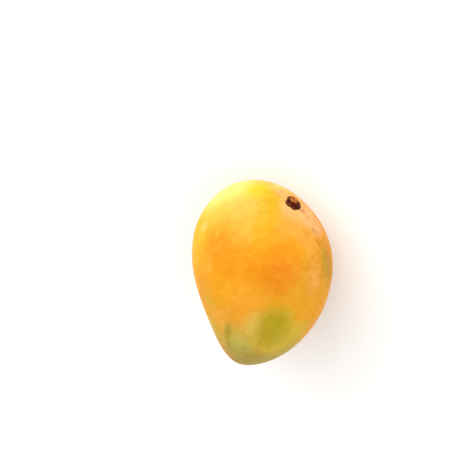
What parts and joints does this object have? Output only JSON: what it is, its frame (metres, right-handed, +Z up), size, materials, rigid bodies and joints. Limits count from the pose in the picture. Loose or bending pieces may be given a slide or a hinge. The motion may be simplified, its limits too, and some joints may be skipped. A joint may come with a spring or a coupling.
{
  "type": "mango",
  "caption": "Whole ripe mango with an oblique oval body, a short woody remnant of its stalk in a shallow cavity, lying on its flatter cheek.",
  "frame": {"origin": "the flat spot's plane on the surface below, under the middle of the part's box", "axes": "+X runs lengthwise from the apex to the stem end, +Y to the ventral side with its fuller shoulder, +Z up through the upper cheek"},
  "size_m": [0.0974, 0.0776, 0.0639],
  "materials": {
    "mango_skin": "thin waxy skin with a soft sheen, golden orange, lemon yellow on the shoulder and olive green near the apex",
    "stem_bark": "rough, dark maroon brown, with a paler broken end"
  },
  "bodies": {
    "root": {"fruit": "mango_skin", "stem_stub": "stem_bark"}
  },
  "joints": []
}
